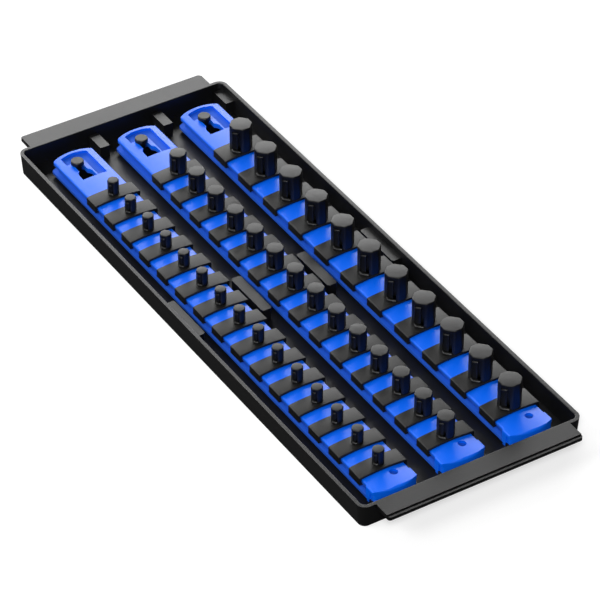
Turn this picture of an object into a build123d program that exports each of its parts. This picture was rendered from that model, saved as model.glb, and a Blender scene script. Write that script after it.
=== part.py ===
"""Drawer tray with three socket rails and forty twist-lock socket clips.

Millimetres, +Z up.  The origin is on the surface that the tray stands on, at the middle of the tray.
+X runs across the rails, from the 1/4 in rail to the 1/2 in rail.  +Y runs along the rails, towards the
keyholes; the stop blocks of the rails are at the -Y end.
"""

import math
import os

from build123d import *

# ---------------------------------------------------------------------------------------------------
# Driving dimensions
# ---------------------------------------------------------------------------------------------------
# Tray
floor_thickness = 2.2
wall_thickness = 2.2
wall_lean = 1.0  # how far each wall leans out between its foot and its rim
tray_height = 13.5
rim_corner_radius = 5.0
side_channel = 9.1  # free floor between an outer rail and the side wall
rim_edge_radius = 0.5
foot_edge_radius = 1.0

# Carrying flange at each end of the tray
flange_width = 115.0
flange_reach = 11.6
flange_thickness = 2.6
flange_corner_radius = 1.6
flange_step_width = 2.0
flange_step_depth = 0.6

# Spacer ribs, stop blocks and guide ridges moulded on the tray floor
spacer_height = 7.8
spacer_width = 5.8
spacer_corner_radius = 1.4
rib_length = 32.2
rib_centre_y = 2.6
block_length = 13.6
block_wall_gap = 0.6
ridge_thickness = 0.8
ridge_height = 3.6

# Rail
rail_length = 330.2
rail_pitch = 40.3
rail_near_gap = 2.6  # from the rail's near tip to the foot of the near wall
rail_end_clearance = 1.0  # left at the far wall when the rail is slid off its lock peg
slide_travel = 10.0  # from the seat of the keyhole to its entry
head_width = 24.8
head_edge_thickness = 2.0
crown_rise = 0.9
crown_height = 10.6  # above the tray floor
neck_width = 20.8
rail_flange_width = 26.2
rail_flange_height = 3.6  # top of the flange above the tray floor
rail_flange_thickness = 1.5
rail_foot_width = 22.0
rail_end_radius = 25.0
rail_corner_radius = 1.6
rail_edge_radius = 1.0  # along the sides of the crown
rail_tip_edge_radius = 1.3  # round the ends of the crown
rail_wall = 1.8
rail_roof = 3.0

# Stop block at the near end of each rail
stop_block_length = 9.7
stop_shoulder_length = 3.4
stop_block_core = 15.3
screw_hole_diameter = 4.5
screw_hole_side_offset = 3.7
screw_hole_from_tip = 10.6

# Recess and keyhole at the far end of each rail
recess_width = 16.2
recess_rim = 2.5
recess_depth = 2.0
recess_shelf_from_tip = 11.0
channel_width = 5.6
channel_from_tip = 27.0
keyhole_side_offset = -2.6
keyhole_from_tip = 12.9
keyhole_neck_play = 0.35
keyhole_entry_play = 0.7

# Lock peg
peg_head_diameter = 7.2
peg_head_thickness = 2.1
peg_head_grip = 0.75  # how far the head reaches over the rim of the keyhole's seat
peg_head_clearance = 0.35  # over the crown of the rail
peg_neck_diameter = 4.3
peg_edge_radius = 0.6
peg_boss_diameter = 8.0
peg_boss_height = 1.6
peg_root_depth = 2.8
peg_root_clearance = 0.05

# Socket clip
clip_clearance = 0.25
clip_roof = 1.3
clip_wall = 1.25
clip_skirt_below_head = 1.2
clip_hook_reach = 1.3

# Twist-lock post on the clip, in the square drive hole of a socket
post_square_clearance = 0.05
post_flat_share = 0.936  # distance of the four flats from the axis, over the post radius
post_root_share = 0.75  # depth that the post is rooted in the roof of the clip, over the roof
post_edge_radius = 0.35

# Window in one flat of the post, with a spring finger; widths and offsets over the post radius
window_width_share = 0.84
window_offset_share = -0.21
window_depth_share = 0.42
finger_width_share = 0.46
finger_offset_share = -0.30
finger_thickness_share = 0.24
finger_recess = 0.35
finger_top_gap = 0.7
nub_height = 0.8
nub_lead = 0.25
ledge_height = 1.4
ledge_lead = 0.5

# One row per rail: name, square drive, number of clips, clip length, post height, bare far end of the
# rail, thickness of the post's head
rail_rows = [
    ("quarter", 6.35, 15, 10.0, 8.8, 38.9, 1.5),
    ("three_eighths", 9.525, 14, 10.3, 11.9, 38.7, 1.8),
    ("half", 12.7, 11, 13.0, 15.5, 35.2, 2.3),
]

# ---------------------------------------------------------------------------------------------------
# Sizes that follow from the driving dimensions
# ---------------------------------------------------------------------------------------------------
rail_count = len(rail_rows)
rail_far_gap = slide_travel + rail_end_clearance
floor_length = rail_near_gap + rail_length + rail_far_gap
floor_width = (rail_count - 1) * rail_pitch + rail_flange_width + 2 * side_channel
foot_length = floor_length + 2 * wall_thickness
foot_width = floor_width + 2 * wall_thickness
rim_length = foot_length + 2 * wall_lean
rim_width = foot_width + 2 * wall_lean
foot_corner_radius = rim_corner_radius - wall_lean
inner_rim_radius = rim_corner_radius - wall_thickness
inner_foot_radius = foot_corner_radius - wall_thickness

near_tip = -floor_length / 2 + rail_near_gap
far_tip = near_tip + rail_length
stop_face = near_tip + stop_block_length
shoulder_face = stop_face - stop_shoulder_length

crown_z = floor_thickness + crown_height
crown_edge_z = crown_z - crown_rise
crown_radius = (crown_rise**2 + (head_width / 2) ** 2) / (2 * crown_rise)
head_bottom_z = crown_edge_z - head_edge_thickness
rail_flange_top_z = floor_thickness + rail_flange_height
rail_flange_bottom_z = rail_flange_top_z - rail_flange_thickness
hollow_top_z = crown_z - rail_roof
hollow_width = neck_width - 2 * rail_wall

peg_y = far_tip - keyhole_from_tip
entry_y = peg_y - slide_travel
keyhole_neck_width = peg_neck_diameter + 2 * keyhole_neck_play
keyhole_seat_radius = peg_head_diameter / 2 - peg_head_grip
keyhole_entry_radius = peg_head_diameter / 2 + keyhole_entry_play

clip_inner_width = head_width + 2 * clip_clearance
clip_width = clip_inner_width + 2 * clip_wall
clip_underside_z = crown_z + clip_clearance
clip_top_z = clip_underside_z + clip_roof
clip_skirt_z = head_bottom_z - clip_skirt_below_head


def rail_x(index):
    """Middle of a rail, counted from the 1/4 in rail."""
    return (index - (rail_count - 1) / 2) * rail_pitch


def sagitta(radius, half_chord):
    """Height of an arc over its chord."""
    return radius - math.sqrt(radius**2 - half_chord**2)


def clip_pitch(count, bare_end):
    """Spacing of clips spread evenly between the stop block and the bare far end of the rail."""
    return (far_tip - bare_end - stop_face) / count


# ---------------------------------------------------------------------------------------------------
# Tray
# ---------------------------------------------------------------------------------------------------
def make_tray():
    """Shallow drafted tray with carrying flanges, spacer ribs, stop blocks and rail guides."""
    rail_middles = [rail_x(index) for index in range(rail_count)]
    spacer_lines = [rail_x(0) - rail_pitch / 2] + [x + rail_pitch / 2 for x in rail_middles]
    block_y = floor_length / 2 - block_wall_gap - block_length / 2
    ridge_x = head_width / 2 + clip_clearance + ridge_thickness / 2
    ridge_end = shoulder_face - clip_clearance
    ridge_start = -(floor_length + wall_thickness) / 2
    flange_overlap = wall_thickness / 2
    with BuildPart() as tray:
        with BuildSketch(Plane.XY):
            RectangleRounded(foot_width, foot_length, foot_corner_radius)
        with BuildSketch(Plane.XY.offset(tray_height)):
            RectangleRounded(rim_width, rim_length, rim_corner_radius)
        loft()
        fillet(tray.faces().sort_by(Axis.Z)[0].edges(), foot_edge_radius)
        # carrying flanges, flush with the rim, with a lowered outer edge
        for side in (-1, 1):
            flange_y = side * (rim_length + flange_reach - flange_overlap) / 2
            edge_y = side * (rim_length / 2 + flange_reach - flange_step_width / 2)
            with BuildSketch(Plane.XY.offset(tray_height)) as flange:
                with Locations((0, flange_y)):
                    Rectangle(flange_width, flange_reach + flange_overlap)
                tips = flange.vertices().sort_by(Axis.Y, reverse=side > 0)[:2]
                fillet(tips, flange_corner_radius)
            extrude(amount=-flange_thickness)
            with BuildSketch(Plane.XY.offset(tray_height)):
                with Locations((0, edge_y)):
                    Rectangle(flange_width, flange_step_width)
            extrude(amount=-flange_step_depth, mode=Mode.SUBTRACT)
        # cavity, with a softened rim
        with BuildSketch(Plane.XY.offset(floor_thickness)):
            RectangleRounded(floor_width, floor_length, inner_foot_radius)
        with BuildSketch(Plane.XY.offset(tray_height)):
            RectangleRounded(
                rim_width - 2 * wall_thickness, rim_length - 2 * wall_thickness, inner_rim_radius
            )
        loft(mode=Mode.SUBTRACT)
        rim = tray.faces().filter_by(Axis.Z).sort_by(Axis.Z)[-1]
        fillet(rim.inner_wires()[0].edges(), rim_edge_radius)
        # spacer ribs beside the rails at mid length
        with BuildSketch(Plane.XY.offset(floor_thickness)):
            with Locations([(x, rib_centre_y) for x in spacer_lines]):
                RectangleRounded(spacer_width, rib_length, spacer_corner_radius)
        extrude(amount=spacer_height)
        # a stop block beside the far end of each rail
        with BuildSketch(Plane.XY.offset(floor_thickness)):
            with Locations([(x + rail_pitch / 2, block_y) for x in rail_middles]):
                Rectangle(spacer_width, block_length)
        extrude(amount=spacer_height)
        # low ridges that hold the stop block of each rail sideways
        with BuildSketch(Plane.XY.offset(floor_thickness)):
            with Locations([(x, (ridge_start + ridge_end) / 2) for x in rail_middles]):
                with GridLocations(2 * ridge_x, 0, 2, 1):
                    Rectangle(ridge_thickness, ridge_end - ridge_start)
        extrude(amount=ridge_height)
        # bored bosses for the lock pegs
        with BuildSketch(Plane.XY.offset(floor_thickness)):
            with Locations([(x + keyhole_side_offset, peg_y) for x in rail_middles]):
                Circle(peg_boss_diameter / 2)
        extrude(amount=peg_boss_height)
        with BuildSketch(Plane.XY.offset(floor_thickness + peg_boss_height)):
            with Locations([(x + keyhole_side_offset, peg_y) for x in rail_middles]):
                Circle(peg_neck_diameter / 2 + peg_root_clearance)
        extrude(amount=-peg_root_depth, mode=Mode.SUBTRACT)
    return tray


# ---------------------------------------------------------------------------------------------------
# Lock peg
# ---------------------------------------------------------------------------------------------------
def make_peg(index):
    """Mushroom-headed stud, pressed into its boss on the tray floor."""
    peg_x = rail_x(index) + keyhole_side_offset
    root_z = floor_thickness + peg_boss_height - peg_root_depth
    peg_head_z = crown_z + peg_head_clearance
    with BuildPart() as peg:
        with BuildSketch(Plane.XY.offset(root_z)):
            with Locations((peg_x, peg_y)):
                Circle(peg_neck_diameter / 2)
        extrude(amount=peg_head_z - root_z)
        with BuildSketch(Plane.XY.offset(peg_head_z)):
            with Locations((peg_x, peg_y)):
                Circle(peg_head_diameter / 2)
        extrude(amount=peg_head_thickness)
        fillet(peg.faces().sort_by(Axis.Z)[-1].edges(), peg_edge_radius)
    return peg


# ---------------------------------------------------------------------------------------------------
# Rail
# ---------------------------------------------------------------------------------------------------
def layer_outline(width, start_y, round_start):
    """One layer of a rail in plan: straight sides and a shallow arc at the far end.

    The far arcs of all layers are concentric.  The near end is straight at start_y, or an arc that all
    layers share.
    """
    half = width / 2
    spread = (width - head_width) / 2
    layer_tip = far_tip + spread
    far_corner = layer_tip - sagitta(rail_end_radius + spread, half)
    near_corner = start_y + sagitta(rail_end_radius, half) if round_start else start_y
    with BuildSketch() as outline:
        with BuildLine():
            Line((-half, near_corner), (-half, far_corner))
            ThreePointArc((-half, far_corner), (0, layer_tip), (half, far_corner))
            Line((half, far_corner), (half, near_corner))
            if round_start:
                ThreePointArc((half, near_corner), (0, start_y), (-half, near_corner))
            else:
                Line((half, near_corner), (-half, near_corner))
        make_face()
        corners = outline.vertices().sort_by(Axis.Y, reverse=True)
        fillet(corners if round_start else corners[:2], rail_corner_radius)
    return outline.sketch


def crowned_layer(width, side):
    """Top layer of a rail, with soft edges round its crown, on one side of the stop face."""
    half = width / 2
    edge_z = crown_z - sagitta(crown_radius, half)
    with BuildPart() as layer:
        with BuildSketch(Plane.XY.offset(head_bottom_z)):
            add(layer_outline(width, near_tip, True))
        extrude(amount=crown_z - head_bottom_z)
        fillet(layer.faces().sort_by(Axis.Z)[-1].edges(), rail_tip_edge_radius)
        with BuildSketch(Plane.XZ.offset(-far_tip - width)) as crown:
            with BuildLine():
                Polyline((-half, edge_z), (-half, 0), (half, 0), (half, edge_z))
                ThreePointArc((half, edge_z), (0, crown_z), (-half, edge_z))
            make_face()
            fillet(crown.vertices().sort_by(Axis.Y)[-2:], rail_edge_radius)
        extrude(amount=rail_length + 2 * width, mode=Mode.INTERSECT)
        split(bisect_by=Plane.XZ.offset(-stop_face), keep=side)
    return layer.part


def make_rail(index):
    """Crowned T-rail with a stop block at the near end and a keyhole at the far end."""
    half_recess = recess_width / 2
    recess_tip = far_tip - recess_rim
    recess_radius = rail_end_radius - recess_rim
    recess_corner = recess_tip - sagitta(recess_radius, half_recess)
    shelf_y = far_tip - recess_shelf_from_tip
    channel_end = far_tip - channel_from_tip
    hollow_start = near_tip + stop_block_core
    hollow_end = recess_tip - 2 * rail_wall
    head = crowned_layer(head_width, Keep.BOTTOM)
    brow = crowned_layer(rail_flange_width, Keep.TOP)
    with BuildPart() as rail:
        # foot, flange and neck, from the floor up
        with BuildSketch(Plane.XY.offset(floor_thickness)):
            add(layer_outline(rail_foot_width, shoulder_face, False))
        extrude(amount=rail_flange_bottom_z - floor_thickness)
        with BuildSketch(Plane.XY.offset(rail_flange_bottom_z)):
            add(layer_outline(rail_flange_width, shoulder_face, False))
        extrude(amount=rail_flange_thickness)
        with BuildSketch(Plane.XY.offset(rail_flange_top_z)):
            add(layer_outline(neck_width, shoulder_face, False))
        extrude(amount=head_bottom_z - rail_flange_top_z)
        # stop block, down to the floor, and the wider shoulder behind it
        with BuildSketch(Plane.XY.offset(floor_thickness)):
            add(layer_outline(head_width, near_tip, True))
            with Locations((0, near_tip + stop_block_length / 2)):
                Rectangle(head_width, stop_block_length, mode=Mode.INTERSECT)
        extrude(amount=head_bottom_z - floor_thickness)
        with BuildSketch(Plane.XY.offset(rail_flange_bottom_z)):
            with Locations((0, (shoulder_face + stop_face) / 2)):
                Rectangle(rail_flange_width, stop_shoulder_length)
        extrude(amount=head_bottom_z - rail_flange_bottom_z)
        # the crowned head, and the wider brow of the stop block
        add(head)
        add(brow)
        # hollow underside
        with BuildSketch(Plane.XY.offset(floor_thickness)):
            with Locations((0, (hollow_start + hollow_end) / 2)):
                Rectangle(hollow_width, hollow_end - hollow_start)
        extrude(amount=hollow_top_z - floor_thickness, mode=Mode.SUBTRACT)
        # recess round the keyhole tongue, and its channel
        with BuildSketch(Plane.XY.offset(crown_z - recess_depth)):
            with BuildLine():
                inner_x = half_recess - channel_width
                Polyline(
                    (half_recess, recess_corner),
                    (half_recess, channel_end),
                    (inner_x, channel_end),
                    (inner_x, shelf_y),
                    (-half_recess, shelf_y),
                    (-half_recess, recess_corner),
                )
                ThreePointArc(
                    (-half_recess, recess_corner), (0, recess_tip), (half_recess, recess_corner)
                )
            make_face()
        extrude(amount=recess_depth + crown_rise, mode=Mode.SUBTRACT)
        # keyhole: seat of the peg, neck, and the wide entry with its straight heel
        with BuildSketch(Plane.XY.offset(floor_thickness)):
            with Locations((keyhole_side_offset, peg_y)):
                Circle(keyhole_seat_radius)
            with Locations((keyhole_side_offset, (peg_y + entry_y) / 2)):
                Rectangle(keyhole_neck_width, slide_travel)
            with Locations((keyhole_side_offset, entry_y)):
                Circle(keyhole_entry_radius)
            with Locations((keyhole_side_offset, entry_y - keyhole_entry_radius / 2)):
                Rectangle(2 * keyhole_entry_radius, keyhole_entry_radius)
        extrude(amount=crown_height, mode=Mode.SUBTRACT)
        # screw hole through the stop block
        with BuildSketch(Plane.XY.offset(floor_thickness)):
            with Locations((screw_hole_side_offset, near_tip + screw_hole_from_tip)):
                Circle(screw_hole_diameter / 2)
        extrude(amount=crown_height, mode=Mode.SUBTRACT)
    with BuildPart() as placed:
        with Locations((rail_x(index), 0, 0)):
            add(rail.part)
    return placed


# ---------------------------------------------------------------------------------------------------
# Socket clip with its twist-lock post
# ---------------------------------------------------------------------------------------------------
def make_clip(drive, length, post_height, head_thickness):
    """Clip at the origin of its rail: a saddle hooked round the rail's head, and the post on it."""
    inner = clip_inner_width / 2
    outer = clip_width / 2
    hook_x = inner - clip_hook_reach
    hook_top = head_bottom_z - clip_clearance
    inner_edge = clip_underside_z - crown_rise
    outer_edge = clip_top_z - crown_rise

    radius = drive / 2 - post_square_clearance
    flat = radius * post_flat_share
    root_z = clip_top_z - clip_roof * post_root_share
    post_top = clip_top_z + post_height
    ledge_top = clip_top_z + ledge_height
    window_top = post_top - head_thickness
    window_x = radius * window_offset_share
    window_width = radius * window_width_share
    window_depth = radius * window_depth_share
    finger_x = radius * finger_offset_share
    finger_width = radius * finger_width_share
    finger_thickness = radius * finger_thickness_share
    finger_face = flat - finger_recess
    finger_top = window_top - finger_top_gap
    with BuildPart() as clip:
        with BuildSketch(Plane.XZ.offset(-length / 2)):
            with BuildLine():
                Polyline(
                    (inner, inner_edge),
                    (inner, hook_top),
                    (hook_x, hook_top),
                    (hook_x, clip_skirt_z),
                    (outer, clip_skirt_z),
                    (outer, outer_edge),
                )
                ThreePointArc((outer, outer_edge), (0, clip_top_z), (-outer, outer_edge))
                Polyline(
                    (-outer, outer_edge),
                    (-outer, clip_skirt_z),
                    (-hook_x, clip_skirt_z),
                    (-hook_x, hook_top),
                    (-inner, hook_top),
                    (-inner, inner_edge),
                )
                ThreePointArc((-inner, inner_edge), (0, clip_underside_z), (inner, inner_edge))
            make_face()
        extrude(amount=length)
        # post: a rounded square, its flats turned 45 degrees to the rail
        with BuildSketch(Plane.XY.offset(root_z)):
            Circle(radius)
            Rectangle(2 * flat, 2 * flat, rotation=45, mode=Mode.INTERSECT)
        extrude(amount=post_top - root_z)
        fillet(clip.faces().sort_by(Axis.Z)[-1].edges(), post_edge_radius)
        # window in the flat that faces -X -Y; local +X runs along that flat, local -Y out of it
        with BuildSketch(Plane(origin=(0, 0, ledge_top), x_dir=(1, -1, 0), z_dir=(0, 0, 1))):
            with Locations((window_x, -radius + (radius - flat + window_depth) / 2)):
                Rectangle(window_width, radius - flat + window_depth)
        extrude(amount=window_top - ledge_top, mode=Mode.SUBTRACT)
        # ledge under the window, kept within the clip
        with BuildSketch(Plane(origin=(0, 0, root_z), x_dir=(1, -1, 0), z_dir=(0, 0, 1))):
            with Locations((window_x, -flat + (window_depth - ledge_lead) / 2)):
                Rectangle(window_width, window_depth + ledge_lead)
            Circle(radius + ledge_lead, mode=Mode.INTERSECT)
            Rectangle(clip_width, length, rotation=45, mode=Mode.INTERSECT)
        extrude(amount=ledge_top - root_z)
        # spring finger in the window, with a nub at its tip
        with BuildSketch(Plane(origin=(0, 0, ledge_top), x_dir=(1, -1, 0), z_dir=(0, 0, 1))):
            with Locations((finger_x, -finger_face + finger_thickness / 2)):
                Rectangle(finger_width, finger_thickness)
        extrude(amount=finger_top - ledge_top)
        with BuildSketch(Plane(origin=(0, 0, finger_top), x_dir=(1, -1, 0), z_dir=(0, 0, 1))):
            with Locations((finger_x, -finger_face + (finger_thickness - nub_lead) / 2)):
                Rectangle(finger_width, finger_thickness + nub_lead)
        extrude(amount=-nub_height)
    return clip


# ---------------------------------------------------------------------------------------------------
# Pieces
# ---------------------------------------------------------------------------------------------------
os.makedirs("parts", exist_ok=True)

tray = make_tray()
tray.part.label = "drawer_tray"
export_step(tray.part, "parts/drawer_tray.step")

for index, row in enumerate(rail_rows):
    size_name, drive, count, clip_length, post_height, bare_end, head_thickness = row

    rail = make_rail(index)
    rail.part.label = f"{size_name}_inch_rail"
    export_step(rail.part, f"parts/{size_name}_inch_rail.step")

    peg = make_peg(index)
    peg.part.label = f"{size_name}_rail_lock_peg"
    export_step(peg.part, f"parts/{size_name}_rail_lock_peg.step")

    pattern = make_clip(drive, clip_length, post_height, head_thickness)
    pitch = clip_pitch(count, bare_end)
    for number in range(1, count + 1):
        clip_y = stop_face + (count - number + 0.5) * pitch
        with BuildPart() as clip:
            with Locations((rail_x(index), clip_y, 0)):
                add(pattern.part)
        clip.part.label = f"{size_name}_clip_{number:02d}"
        export_step(clip.part, f"parts/{size_name}_clip_{number:02d}.step")
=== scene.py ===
# %% [markdown]
# # A socket tray with slide rails
#
# The real object is a shallow black tray of moulded plastic. Blue plastic rails stand in it, and black
# clips slide on the rails. Each clip carries a square post that locks into the drive hole of a socket.
# The hard parts already come from the CAD model at their real size, so this script dresses them: it
# rebuilds the clips with softened edges, gives every surface its finish, and lights the whole thing like
# a catalogue photograph.

# %% Load the frame
import math

import bmesh
import bpy
import numpy as np
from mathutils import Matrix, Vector


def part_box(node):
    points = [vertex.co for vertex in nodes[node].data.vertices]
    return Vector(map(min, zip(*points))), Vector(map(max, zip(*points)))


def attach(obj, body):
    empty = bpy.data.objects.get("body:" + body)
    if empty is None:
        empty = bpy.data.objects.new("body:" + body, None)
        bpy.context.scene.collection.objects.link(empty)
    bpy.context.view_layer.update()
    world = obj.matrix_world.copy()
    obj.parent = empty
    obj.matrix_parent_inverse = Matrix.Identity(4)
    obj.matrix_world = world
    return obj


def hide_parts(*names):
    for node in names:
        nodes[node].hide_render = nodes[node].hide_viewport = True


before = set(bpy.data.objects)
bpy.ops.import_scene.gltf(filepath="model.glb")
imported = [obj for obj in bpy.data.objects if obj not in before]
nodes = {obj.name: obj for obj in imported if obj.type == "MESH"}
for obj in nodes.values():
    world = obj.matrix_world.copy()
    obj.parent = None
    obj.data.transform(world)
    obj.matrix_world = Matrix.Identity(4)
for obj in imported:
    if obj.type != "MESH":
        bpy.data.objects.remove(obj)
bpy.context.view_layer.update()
MM = 0.001

# %% [markdown]
# ## Colours
#
# A colour picked from a picture is coded for a screen. Blender's shaders want the amount of light, so
# each colour goes through the screen's curve backwards first.


# %% Screen colour to light
def screen(red, green, blue):
    """Linear colour of an 8-bit screen colour: ((c/255 + 0.055) / 1.055) ** 2.4, the screen's own curve."""
    coded = np.array((red, green, blue)) / 255
    light = np.where(coded <= 0.04045, coded / 12.92, ((coded + 0.055) / 1.055) ** 2.4)
    return (*light, 1.0)


TRAY_BLACK = screen(8, 8, 9)
CLIP_BLACK = screen(8, 8, 8)
RAIL_BLUE = screen(0, 98, 236)
print("rail blue in linear light", tuple(round(float(c), 3) for c in RAIL_BLUE))

# %% [markdown]
# ## Surface effects that every plastic shares
#
# Moulded plastic is never perfectly even. The steel mould leaves a fine grain, the melt leaves slow waves,
# and some parts of a mould are left duller than others. The same mask by height also paints shade into
# the recess and the lower sides of a rail. Each of these effects serves more than one material, so it is a
# node group: it is built once, and a material sets its own values on it.


# %% Helpers for node trees
def new_group(name, inputs, outputs):
    """Empty shader node group with float inputs {name: default} and float outputs."""
    group = bpy.data.node_groups.new(name, "ShaderNodeTree")
    for label, default in inputs.items():
        socket = group.interface.new_socket(label, in_out="INPUT", socket_type="NodeSocketFloat")
        socket.default_value = default
    for label in outputs:
        group.interface.new_socket(label, in_out="OUTPUT", socket_type="NodeSocketFloat")
    return group, group.nodes.new("NodeGroupInput"), group.nodes.new("NodeGroupOutput")


def math_node(tree, operation, first, second):
    """Math node of two values, each a socket or a number."""
    node = tree.nodes.new("ShaderNodeMath")
    node.operation = operation
    for place, value in enumerate((first, second)):
        if isinstance(value, bpy.types.NodeSocket):
            tree.links.new(value, node.inputs[place])
        else:
            node.inputs[place].default_value = value
    return node.outputs[0]


# %% Grain group
def grain_group():
    """Height of a moulded grain: a fine noise, plus cells of the spark-eroded mould, both in 0..1."""
    group, given, out = new_group(
        "moulded_grain", {"Grain per metre": 2500.0, "Cells": 0.5}, ("Height", "Speckle")
    )
    place = group.nodes.new("ShaderNodeTexCoord")
    noise = group.nodes.new("ShaderNodeTexNoise")
    noise.inputs["Detail"].default_value = 3.0
    noise.inputs["Roughness"].default_value = 0.6
    cells = group.nodes.new("ShaderNodeTexVoronoi")
    for texture in (noise, cells):
        group.links.new(place.outputs["Object"], texture.inputs["Vector"])
        group.links.new(given.outputs["Grain per metre"], texture.inputs["Scale"])
    cell_height = math_node(group, "MULTIPLY", cells.outputs["Distance"], given.outputs["Cells"])
    group.links.new(math_node(group, "ADD", noise.outputs[0], cell_height), out.inputs["Height"])
    group.links.new(noise.outputs[0], out.inputs["Speckle"])
    return group


GRAIN = grain_group()


# %% Slow waves group
def wave_group():
    """Slow variation of a moulded face: noise of a few centimetres, scaled about zero."""
    group, given, out = new_group("mould_flow", {"Waves per metre": 22.0, "Strength": 0.1}, ("Shift",))
    place = group.nodes.new("ShaderNodeTexCoord")
    noise = group.nodes.new("ShaderNodeTexNoise")
    noise.inputs["Detail"].default_value = 2.0
    group.links.new(place.outputs["Object"], noise.inputs["Vector"])
    group.links.new(given.outputs["Waves per metre"], noise.inputs["Scale"])
    centred = math_node(group, "SUBTRACT", noise.outputs[0], 0.5)
    shift = math_node(group, "MULTIPLY", centred, given.outputs["Strength"])
    group.links.new(shift, out.inputs["Shift"])
    return group


FLOW = wave_group()


# %% Height mask group
def height_group():
    """Mask in the object: 1 where z is under a level and y is past a start, in metres, and 0 elsewhere."""
    group, given, out = new_group("below_level", {"Level": 0.01, "Start": -1.0}, ("Mask",))
    place = group.nodes.new("ShaderNodeTexCoord")
    split = group.nodes.new("ShaderNodeSeparateXYZ")
    group.links.new(place.outputs["Object"], split.inputs[0])
    below = math_node(group, "LESS_THAN", split.outputs["Z"], given.outputs["Level"])
    past = math_node(group, "GREATER_THAN", split.outputs["Y"], given.outputs["Start"])
    group.links.new(math_node(group, "MULTIPLY", below, past), out.inputs["Mask"])
    return group


BELOW = height_group()
print("node groups", GRAIN.name, FLOW.name, BELOW.name)

# %% [markdown]
# ## The plastics
#
# One recipe makes each of the finishes. The base colour wanders slightly with the flow of the melt and
# with the speckle of the grain, the roughness does the same, and the grain also lifts the surface a few
# hundredths of a millimetre through a bump.


# %% One recipe for a moulded plastic
def moulded_plastic(name, colour, roughness, grain, grain_depth, tone=0.25, specular=0.5, dull_and_painted_shade=None):
    """Principled plastic. colour is its light, grain its grain per metre, grain_depth the bump in metres.

    The last argument is a level z and a start y, in metres, and what is added to the roughness and what is
    taken from the colour as painted shade. It applies under that z and past that y, where the mould was
    left duller and where the recess and the lower sides of a rail are shaded.
    """
    material = bpy.data.materials.new(name)
    material.use_nodes = True
    tree = material.node_tree
    shader = tree.nodes["Principled BSDF"]
    flow = tree.nodes.new("ShaderNodeGroup")
    flow.node_tree = FLOW
    flow.inputs["Strength"].default_value = tone
    speck = tree.nodes.new("ShaderNodeGroup")
    speck.node_tree = GRAIN
    speck.inputs["Grain per metre"].default_value = grain

    # colour: the flow and the speckle make it lighter or darker by a share
    speckle = math_node(tree, "MULTIPLY", math_node(tree, "SUBTRACT", speck.outputs["Speckle"], 0.5), tone)
    change = math_node(tree, "ADD", flow.outputs["Shift"], speckle)
    light = math_node(tree, "ADD", change, 1.0)
    if dull_and_painted_shade is not None:
        level_z, start_y, added_roughness, painted_shade_share = dull_and_painted_shade
        level = tree.nodes.new("ShaderNodeGroup")
        level.node_tree = BELOW
        level.inputs["Level"].default_value = level_z
        level.inputs["Start"].default_value = start_y
        rougher = math_node(tree, "MULTIPLY", level.outputs["Mask"], added_roughness)
        # painted shade: under the level the colour is taken down by a share, to shade a rail's recess and
        # sides
        darker = math_node(tree, "MULTIPLY", level.outputs["Mask"], painted_shade_share)
        light = math_node(tree, "SUBTRACT", light, darker)
    tint = tree.nodes.new("ShaderNodeMix")
    tint.data_type = "RGBA"
    tint.blend_type = "MULTIPLY"
    tint.inputs["Factor"].default_value = 1.0
    tint.inputs["A"].default_value = colour
    tree.links.new(light, tint.inputs["B"])
    tree.links.new(tint.outputs["Result"], shader.inputs["Base Color"])

    # roughness: the same wander, a little weaker
    rough = math_node(tree, "ADD", math_node(tree, "MULTIPLY", change, 0.5), roughness)
    if dull_and_painted_shade is not None:
        rough = math_node(tree, "ADD", rough, rougher)
    tree.links.new(rough, shader.inputs["Roughness"])

    bump = tree.nodes.new("ShaderNodeBump")
    bump.inputs["Distance"].default_value = grain_depth
    bump.inputs["Strength"].default_value = 0.6
    tree.links.new(speck.outputs["Height"], bump.inputs["Height"])
    tree.links.new(bump.outputs["Normal"], shader.inputs["Normal"])
    shader.inputs["Specular IOR Level"].default_value = specular
    return material


SADDLE_LEVEL = 0.01444  # just over the top of a clip's saddle
WHOLE_LENGTH = -1.0  # a start that lies before every piece
RECESS_LEVEL = 0.0110  # between the crown of a rail and the floor of its recess
STOP_FACE = -0.1596  # the stop block of a rail ends here

tray_plastic = moulded_plastic("satin_black_tray", TRAY_BLACK, 0.40, 1800.0, 0.00003)
# the saddle of a clip is duller than its post
clip_plastic = moulded_plastic(
    "grained_black_clip", CLIP_BLACK, 0.38, 2600.0, 0.00004, dull_and_painted_shade=(SADDLE_LEVEL, WHOLE_LENGTH, 0.10, 0.0)
)
peg_plastic = moulded_plastic("black_peg", CLIP_BLACK, 0.40, 2600.0, 0.00003)
# the crown of a rail and its stop block are glossier than the recess and the sides; the recess and the
# sides also get painted shade, their colour taken down by a share
rail_plastic = moulded_plastic(
    "bright_blue_rail", RAIL_BLUE, 0.33, 2200.0, 0.00002, tone=0.08,
    dull_and_painted_shade=(RECESS_LEVEL, STOP_FACE, 0.45, 0.35)
)


# %% Dress the CAD pieces
def dress(node_name, material):
    """Puts one material in all the slots of a CAD node."""
    slots = nodes[node_name].data.materials
    slots.clear()
    slots.append(material)


SIZES = ("quarter", "three_eighths", "half")
dress("drawer_tray", tray_plastic)
for size in SIZES:
    dress(f"{size}_inch_rail", rail_plastic)
    dress(f"{size}_rail_lock_peg", peg_plastic)
print("dressed the tray,", len(SIZES), "rails and", len(SIZES), "lock pegs")

# %% [markdown]
# ## The clips
#
# A clip is a saddle that hooks round the head of the rail, with a post on top. The CAD solid has the right
# size, but only the rim of its post is rounded, and real moulded edges catch the light. So each clip is
# worked out again from its drawing, with its main outer edges rounded by a few tenths of a millimetre.
#
# The saddle is one profile carried along the rail. Near both ends the profile shrinks along a quarter
# circle, which rounds the end edges. Its skin and its lining have the same number of points, so that each
# end is closed by a row of four-sided faces between the two.


# %% A path with rounded corners
CORNER_STEPS = 7


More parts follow.
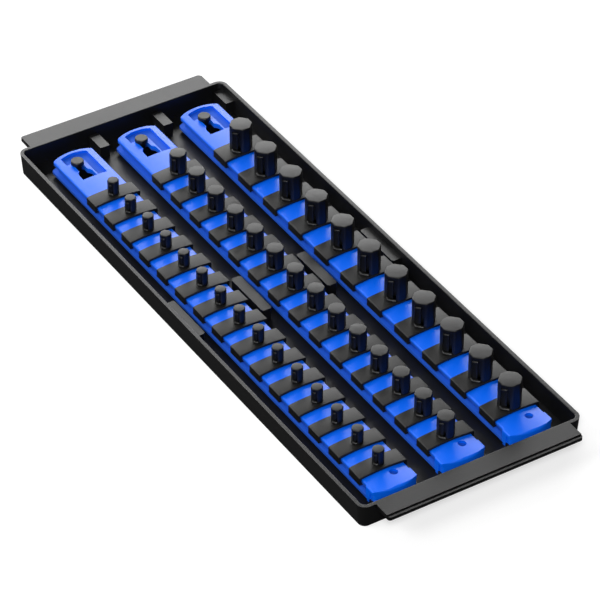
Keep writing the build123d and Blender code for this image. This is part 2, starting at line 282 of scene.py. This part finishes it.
def rounded_path(points, radii, steps=CORNER_STEPS):
    """Open polyline with each inner corner replaced by an arc that is tangent to both of its sides.

    For a corner P with unit directions a (back) and b (on), an arc of radius r starts at P + a * t and ends
    at P + b * t, where t = r / tan(half the angle between a and b).  Its centre lies on the bisector.
    """
    points = np.asarray(points, float)
    corner = points[1:-1]
    back = points[:-2] - corner
    ahead = points[2:] - corner
    back /= np.linalg.norm(back, axis=1)[:, None]
    ahead /= np.linalg.norm(ahead, axis=1)[:, None]
    half = np.arccos(np.clip((back * ahead).sum(axis=1), -1, 1)) / 2
    radii = np.asarray(radii, float)
    middle = back + ahead
    middle /= np.maximum(np.linalg.norm(middle, axis=1), 1e-12)[:, None]
    centre = corner + middle * (radii / np.sin(half))[:, None]
    turn = (np.pi / 2 - half)[:, None] * np.linspace(-1, 1, steps)[None, :]
    side = np.stack([-middle[:, 1], middle[:, 0]], axis=1)
    side *= np.sign((side * ahead).sum(axis=1))[:, None]
    arc = centre[:, None, :] + radii[:, None, None] * (
        -middle[:, None, :] * np.cos(turn)[..., None] + side[:, None, :] * np.sin(turn)[..., None]
    )
    return np.vstack([points[:1], arc.reshape(-1, 2), points[-1:]])


def outward(loop):
    """Unit normals of a closed loop that runs anticlockwise, from the chord between both neighbours."""
    chord = np.roll(loop, -1, axis=0) - np.roll(loop, 1, axis=0)
    normal = np.stack([chord[:, 1], -chord[:, 0]], axis=1)
    return normal / np.maximum(np.linalg.norm(normal, axis=1), 1e-12)[:, None]


def tube_faces(rings, around, start=0):
    """Quads between rings of a closed loop: ring i joins ring i + 1, point j joins point j + 1."""
    i, j = np.meshgrid(np.arange(rings - 1), np.arange(around), indexing="ij")
    k = (j + 1) % around
    quads = np.stack([i * around + j, i * around + k, (i + 1) * around + k, (i + 1) * around + j], axis=-1)
    return quads.reshape(-1, 4) + start


print("corner of a square, rounded:", rounded_path([(0, 0), (1, 0), (1, 1)], [0.3])[1:-1].round(2).tolist())

# %% Sizes of the clips, as on the drawing
CROWN_Z = 12.8
CROWN_RISE = 0.9
HEAD_HALF = 12.4
CLEARANCE = 0.25
ROOF = 1.3
WALL = 1.25
HEAD_BOTTOM = CROWN_Z - CROWN_RISE - 2.0
SKIRT_Z = HEAD_BOTTOM - 1.2
HOOK_REACH = 1.3
CLIP_TOP = CROWN_Z + CLEARANCE + ROOF
EDGE_ROUND = 0.3
SKIRT_ROUND = 0.45
SHOULDER_ROUND = 0.55
SHOULDER_REACH = 0.9  # from the outer wall to the point where the crown starts
SHOULDER_RISE = 0.115  # how far the crown has risen there

# name: radius of the post, clip length, post height, thickness of the post's head
CLIPS = {
    "quarter": (3.125, 10.0, 8.8, 1.5),
    "three_eighths": (4.7125, 10.3, 11.9, 1.8),
    "half": (6.3, 13.0, 15.5, 2.3),
}


# %% The saddle
def crown_arc(half, edge_z, rise, count=25):
    """Shallow arc over the rail: z = edge_z + rise * (1 - (x / half) ** 2), from +half to -half."""
    x = np.linspace(half, -half, count)
    return np.stack([x, edge_z + rise * (1 - (x / half) ** 2)], axis=1)


def saddle(length):
    """Profile of the clip in x and z, carried along y; both ends shrink it along a quarter circle."""
    inner = HEAD_HALF + CLEARANCE
    outer = inner + WALL
    hook = inner - HOOK_REACH
    hook_top = HEAD_BOTTOM - CLEARANCE
    roof = CROWN_Z + CLEARANCE
    # outer skin, anticlockwise from the right hook over the crown to the left hook
    shoulder_z = CLIP_TOP - CROWN_RISE
    corners = [(hook, SKIRT_Z), (outer, SKIRT_Z), (outer, shoulder_z), (0, CLIP_TOP)]
    skin = rounded_path(corners, [SKIRT_ROUND, SHOULDER_ROUND])[:-1]
    top = crown_arc(outer - SHOULDER_REACH, shoulder_z + SHOULDER_RISE, CROWN_RISE - SHOULDER_RISE)
    outside = np.vstack([skin, top, skin[::-1] * (-1, 1)])
    # a sharp corner of the lining is repeated as often as a rounded one has points; the points that
    # still coincide are merged when the mesh is made
    lining = np.array([(hook, hook_top), (inner, hook_top), (inner, roof - CROWN_RISE)])
    lining = np.repeat(lining, (1, CORNER_STEPS, CORNER_STEPS), axis=0)
    ceiling = crown_arc(inner - 0.1, roof - CROWN_RISE, CROWN_RISE)
    inside = np.vstack([lining, ceiling, lining[::-1] * (-1, 1)])
    loop = np.vstack([outside, inside[::-1]])
    normal = outward(loop)
    phi = np.linspace(0, np.pi / 2, 7)
    inset = EDGE_ROUND * (1 - np.sin(phi))
    y = -length / 2 + EDGE_ROUND * (1 - np.cos(phi))
    inset = np.concatenate([inset, inset[::-1]])
    y = np.concatenate([y, -y[::-1]])
    flat = loop[None] - normal[None] * inset[:, None, None]
    rings, around = len(y), len(loop)
    points = np.stack([flat[..., 0], np.broadcast_to(y[:, None], (rings, around)), flat[..., 1]], axis=-1)
    faces = tube_faces(rings, around)
    first = np.arange(len(outside) - 1)
    cap = np.stack([first, first + 1, around - 2 - first, around - 1 - first], axis=1)
    caps = np.vstack([cap[:, ::-1], cap + (rings - 1) * around])
    return points.reshape(-1, 3), [*map(tuple, faces), *map(tuple, caps)]


saddle_points, saddle_faces = saddle(10.0)
print("saddle of a small clip:", len(saddle_points), "points,", len(saddle_faces), "faces")

# %% [markdown]
# The post is a stack of sections. Each section is a circle cut by eight flats, four wide ones that fit the
# square drive hole and four narrow ones between them. Between the sill and the head it gets a notch on one
# side, the window of the spring finger. Two sections at the same height, one plain and one notched, make
# the flat floor and the flat ceiling of the window.


# %% The post
# shares of the post radius
FLAT_SHARE = 0.936  # distance of the four wide flats from the axis
CORNER_SHARE = 0.965  # the same for the four narrow flats between them
WINDOW_MIDDLE = -0.21  # middle of the window, along its flat
WINDOW_HALF = 0.42  # half the width of the window
WINDOW_DEPTH = 0.42  # depth of the window, from its flat
LEDGE_SHARE = 0.20  # how far the ledge stands out of its flat
# millimetres
SILL_RISE = 1.4  # from the top of the saddle to the sill of the window
HEAD_ROUND = 0.5  # the rim of the post's head


def post_section(radius, notch, steps=96):
    """Closed section of the post: a circle cut by eight flats, with a notch of that depth on one flat.

    Local u runs along the notched flat and w out of it.  r is the least of the radius and, for each flat,
    its distance / cos(angle to it).
    """
    flat = radius * FLAT_SHARE
    corner = radius * CORNER_SHARE
    left = radius * (WINDOW_MIDDLE - WINDOW_HALF)
    right = radius * (WINDOW_MIDDLE + WINDOW_HALF)

    def rim(angle):
        """Radius of the section at an angle from the notched flat's own direction."""
        nearest = (angle + np.pi / 4) % (np.pi / 2) - np.pi / 4
        between = angle % (np.pi / 2) - np.pi / 4
        return np.minimum(radius, np.minimum(flat / np.cos(nearest), corner / np.cos(between)))

    start = math.atan2(right, flat)
    left_out = math.sqrt(radius**2 - left**2)
    end = 2 * np.pi + math.atan2(left, min(left_out, flat))
    # the ends of every flat are points of the outline, so that its corners are crisp
    quarter = np.arange(6)[:, None] * np.pi / 2
    reach = math.acos(FLAT_SHARE)
    narrow = math.acos(CORNER_SHARE)
    ends = quarter + np.array([-reach, reach, np.pi / 4 - narrow, np.pi / 4 + narrow])
    ends = ends[(ends > start + 0.02) & (ends < end - 0.02)]
    angle = np.unique(np.concatenate([np.linspace(start, end, steps), ends]))
    # angle 0 is straight out of the notched flat (w), and grows towards +u
    around = np.stack([rim(angle) * np.sin(angle), rim(angle) * np.cos(angle)], axis=1)
    notch_u = np.linspace(left, right, 9)
    notch_w = np.minimum(flat - notch, np.sqrt(radius**2 - notch_u**2))
    inside = np.stack([notch_u, notch_w], axis=1)
    return np.vstack([around, inside])


def to_rail(points):
    """Turns local (u, w) to the rail's (x, y): u along (1, -1), w along (-1, -1), both over root two."""
    root = math.sqrt(0.5)
    u, w = points[..., 0], points[..., 1]
    return np.stack([(u - w) * root, (-u - w) * root], axis=-1)


def stack(sections, heights):
    """Closed skin of sections at rising heights, with both ends capped by one face."""
    sections = np.asarray(sections, float)
    rings, around = sections.shape[:2]
    z = np.broadcast_to(np.asarray(heights, float)[:, None], (rings, around))
    flat = to_rail(sections)
    points = np.stack([flat[..., 0], flat[..., 1], z], axis=-1).reshape(-1, 3)
    faces = [*map(tuple, tube_faces(rings, around))]
    faces.append(tuple(range(around))[::-1])
    faces.append(tuple(range((rings - 1) * around, rings * around)))
    return points, faces


def post(radius, height, head):
    """Post with its window: sections from inside the roof up to a rounded rim."""
    sill = CLIP_TOP + SILL_RISE
    ceiling = CLIP_TOP + height - head
    top = CLIP_TOP + height
    rim = HEAD_ROUND
    phi = np.linspace(0, np.pi / 2, 8)
    plain = post_section(radius, 0.0)
    notched = post_section(radius, radius * WINDOW_DEPTH)
    shrink = 1 - rim * (1 - np.cos(phi)) / radius
    sections = [plain, plain, notched, notched, plain, plain, *[plain * s for s in shrink]]
    heights = [CLIP_TOP - 0.9, sill, sill, ceiling, ceiling, top - rim - 0.01]
    heights = [*heights, *(top - rim + rim * np.sin(phi))]
    return stack(sections, heights)


print("post of a 3/8 in clip:", len(post(4.7125, 11.9, 1.8)[0]), "points")


# %% [markdown]
# The spring finger stands in the window. It carries a nub at its tip, which snaps into the socket, and a
# ledge below it stands out of the post. Both are soft-cornered slabs: a rounded rectangle, lofted up.


# %% Finger, nub and ledge
FINGER_MIDDLE = -0.30  # shares of the post radius: middle, half width and thickness of the finger
FINGER_HALF = 0.23
FINGER_THICK = 0.24
FINGER_INSET = 0.35  # millimetres from the flat of the post in to the face of the finger


def slab_section(u_low, u_high, w_low, w_high, corner=0.12, outer_corner=0.12, steps=6):
    """Rounded rectangle in (u, w), anticlockwise as seen with the post's sections.

    outer_corner is the radius of the corner at low u and high w.
    """
    angle = np.linspace(0, np.pi / 2, steps)
    quarter = np.stack([np.cos(angle), np.sin(angle)], axis=1)
    sides = [(1, 1, corner), (-1, 1, outer_corner), (-1, -1, corner), (1, -1, corner)]
    arcs = []
    for u_side, w_side, radius in sides:
        centre_u = u_high - radius if u_side > 0 else u_low + radius
        centre_w = w_high - radius if w_side > 0 else w_low + radius
        arc = quarter * (u_side, w_side) * radius + (centre_u, centre_w)
        arcs.append(arc if u_side == w_side else arc[::-1])
    return np.vstack(arcs)[::-1]


def finger(radius, height, head):
    """Slab from the sill to below the head; its front face swells out near the tip to make the nub."""
    foot = CLIP_TOP + SILL_RISE - 0.1
    tip = CLIP_TOP + height - head - 0.7
    face = radius * FLAT_SHARE - FINGER_INSET
    back = face - radius * FINGER_THICK
    left = radius * (FINGER_MIDDLE - FINGER_HALF)
    right = radius * (FINGER_MIDDLE + FINGER_HALF)
    # height, and how far the face stands forward there
    profile = [(foot, 0.0), (tip - 1.05, 0.0), (tip - 0.8, 0.22), (tip - 0.3, 0.25), (tip, 0.05)]
    sections = [slab_section(left, right, back, face + lead) for _, lead in profile]
    return stack(sections, [z for z, _ in profile])


def ledge(radius):
    """Sill that stands out under the window; its front and its top meet in a wide round."""
    top = CLIP_TOP + SILL_RISE
    left = radius * (WINDOW_MIDDLE - WINDOW_HALF)
    right = radius * (WINDOW_MIDDLE + WINDOW_HALF)
    back = radius * (FLAT_SHARE - WINDOW_DEPTH)
    front = radius * (FLAT_SHARE + LEDGE_SHARE)
    curve = min(LEDGE_SHARE * radius + 0.2, 1.0)
    phi = np.linspace(0, np.pi / 2, 8)
    # height, and how far the front is cut back there
    trims = [(CLIP_TOP - 0.5, 0.0), *zip(top - curve + curve * np.sin(phi), curve * (1 - np.cos(phi)))]
    sections = [slab_section(left, right, back, front - trim, 0.2, 0.3 * radius) for _, trim in trims]
    return stack(sections, [z for z, _ in trims])


print("ledge of a 1/2 in clip:", len(ledge(6.3)[0]), "points")

# %% [markdown]
# Every clip of one size is the same moulding, so its points are worked out once and then moved along the
# rail. The place comes from the CAD node that the clip stands for.


# %% Join the shells and place a clip
def joined(shells):
    """One point array and one face list from several closed shells."""
    offsets = np.cumsum([0] + [len(points) for points, _ in shells[:-1]])
    points = np.vstack([points for points, _ in shells])
    faces = [tuple(int(i) + int(o) for i in face) for (_, rows), o in zip(shells, offsets) for face in rows]
    return points, faces


def clip_pattern(size):
    """All shells of one clip, in millimetres, centred on its own rail."""
    radius, length, height, head = CLIPS[size]
    return joined(
        [saddle(length), post(radius, height, head), finger(radius, height, head), ledge(radius)]
    )


def mesh_piece(name, points, faces, material, smooth_angle=18.5):
    """Mesh object from points in millimetres, with doubles merged and smooth shading below an angle."""
    mesh = bpy.data.meshes.new(name)
    mesh.from_pydata((points * MM).tolist(), [], faces)
    sculpt = bmesh.new()
    sculpt.from_mesh(mesh)
    bmesh.ops.remove_doubles(sculpt, verts=sculpt.verts, dist=2e-6)
    bmesh.ops.dissolve_degenerate(sculpt, dist=1e-6, edges=sculpt.edges)
    bmesh.ops.recalc_face_normals(sculpt, faces=sculpt.faces)
    sculpt.to_mesh(mesh)
    sculpt.free()
    mesh.materials.append(material)
    mesh.shade_smooth()
    mesh.set_sharp_from_angle(angle=math.radians(smooth_angle))
    piece = bpy.data.objects.new(name, mesh)
    bpy.context.scene.collection.objects.link(piece)
    return piece


triangles = 0
for size in SIZES:
    points, faces = clip_pattern(size)
    count = sum(1 for name in nodes if name.startswith(f"{size}_clip_"))
    for number in range(1, count + 1):
        node_name = f"{size}_clip_{number:02d}"
        low, high = (np.array(corner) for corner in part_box(node_name))
        middle = (low + high) / 2 / MM
        placed = points + (middle[0], middle[1], 0)
        piece = mesh_piece(f"{node_name}_moulded", placed, faces, clip_plastic)
        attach(piece, node_name)
        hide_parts(node_name)
        triangles += sum(len(face.vertices) - 2 for face in piece.data.polygons)
    print(size, "clips:", count)
print("triangles in all the clips:", triangles)

# %% [markdown]
# ## Floor, light and camera
#
# The floor is pale. Seen by the camera it is white where the light reaches it and keeps the tray's soft
# shadow. The rest of the room is darker, because black plastic shows whatever it faces: that is how the
# photograph keeps the walls of the tray deep black.

# %% Floor
ROOM_LIGHT = 0.06  # how bright the room and the floor are for everything but the camera
FLOOR_SEEN = 0.50  # colour of the floor for the camera
FLOOR_GLOW = 0.56  # light that the floor adds for the camera alone


def floor_material():
    """Diffuse floor: nearly white for the camera, darker for light that bounces to the object."""
    material = bpy.data.materials.new("pale_floor")
    material.use_nodes = True
    tree = material.node_tree
    shader = tree.nodes["Principled BSDF"]
    shader.inputs["Roughness"].default_value = 0.9
    shader.inputs["Specular IOR Level"].default_value = 0.0
    path = tree.nodes.new("ShaderNodeLightPath")
    mix = tree.nodes.new("ShaderNodeMix")
    mix.data_type = "RGBA"
    mix.inputs["A"].default_value = (ROOM_LIGHT, ROOM_LIGHT, ROOM_LIGHT, 1)
    mix.inputs["B"].default_value = (FLOOR_SEEN, FLOOR_SEEN, FLOOR_SEEN, 1)
    tree.links.new(path.outputs["Is Camera Ray"], mix.inputs["Factor"])
    tree.links.new(mix.outputs["Result"], shader.inputs["Base Color"])
    shader.inputs["Emission Color"].default_value = (1, 1, 1, 1)
    glow = math_node(tree, "MULTIPLY", path.outputs["Is Camera Ray"], FLOOR_GLOW)
    tree.links.new(glow, shader.inputs["Emission Strength"])
    return material


half_floor = 6.0
floor_corners = [(x * half_floor, y * half_floor, 0) for x, y in ((-1, -1), (1, -1), (1, 1), (-1, 1))]
floor_mesh = bpy.data.meshes.new("studio_floor")
floor_mesh.from_pydata(floor_corners, [], [(0, 1, 2, 3)])
floor_mesh.materials.append(floor_material())
floor = bpy.data.objects.new("studio_floor", floor_mesh)
bpy.context.scene.collection.objects.link(floor)
print("floor", 2 * half_floor, "m wide")


# %% World: white to the camera, a soft dim room to everything else
def room():
    """World whose strength is 1 for the camera and lower for the light that reaches the object."""
    world = bpy.data.worlds.new("studio_room")
    bpy.context.scene.world = world
    world.use_nodes = True
    tree = world.node_tree
    background = tree.nodes["Background"]
    background.inputs["Color"].default_value = (1, 1, 1, 1)
    path = tree.nodes.new("ShaderNodeLightPath")
    extra = math_node(tree, "MULTIPLY", path.outputs["Is Camera Ray"], 1 - ROOM_LIGHT)
    tree.links.new(math_node(tree, "ADD", extra, ROOM_LIGHT), background.inputs["Strength"])


room()


# %% Lamps
def softbox(name, place, size, watts):
    """Rectangular area lamp at a place in metres, turned to face the middle of the tray."""
    lamp = bpy.data.lights.new(name, "AREA")
    lamp.shape = "RECTANGLE"
    lamp.size, lamp.size_y = size
    lamp.energy = watts
    holder = bpy.data.objects.new(name, lamp)
    holder.location = place
    holder.rotation_euler = (-Vector(place)).to_track_quat("-Z", "Y").to_euler()
    bpy.context.scene.collection.objects.link(holder)
    print(name, watts, "W")


softbox("back_softbox", (0.50, 2.12, 1.05), (4.2, 1.1), 82.0)
softbox("left_softbox", (-1.7, 0.6, 1.5), (1.4, 1.0), 28.0)
softbox("front_softbox", (-1.15, -1.75, 1.9), (1.0, 1.0), 56.0)

# %% [markdown]
# The camera stands where the photographer's stood. Its place, height and lens were worked out from the
# straight edges of the tray and the even spacing of the clips. It is a long lens from nearly two metres.

# %% Camera
camera_data = bpy.data.cameras.new("camera")
camera_data.sensor_width = 36.0
camera_data.lens = 213.84
camera_data.clip_end = 50.0
camera = bpy.data.objects.new("camera", camera_data)
azimuth, elevation, distance = math.radians(-31.93), math.radians(38.04), 1.8737
aim = Vector((0.00514, -0.00492, 0.0))
toward_camera = Vector(
    (math.sin(azimuth) * math.cos(elevation), -math.cos(azimuth) * math.cos(elevation), math.sin(elevation))
)
camera.location = aim + toward_camera * distance
camera.rotation_euler = (-toward_camera).to_track_quat("-Z", "Y").to_euler()
bpy.context.scene.collection.objects.link(camera)
bpy.context.scene.camera = camera
bpy.context.scene.view_settings.view_transform = "Standard"
print("camera at", tuple(round(v, 4) for v in camera.location))
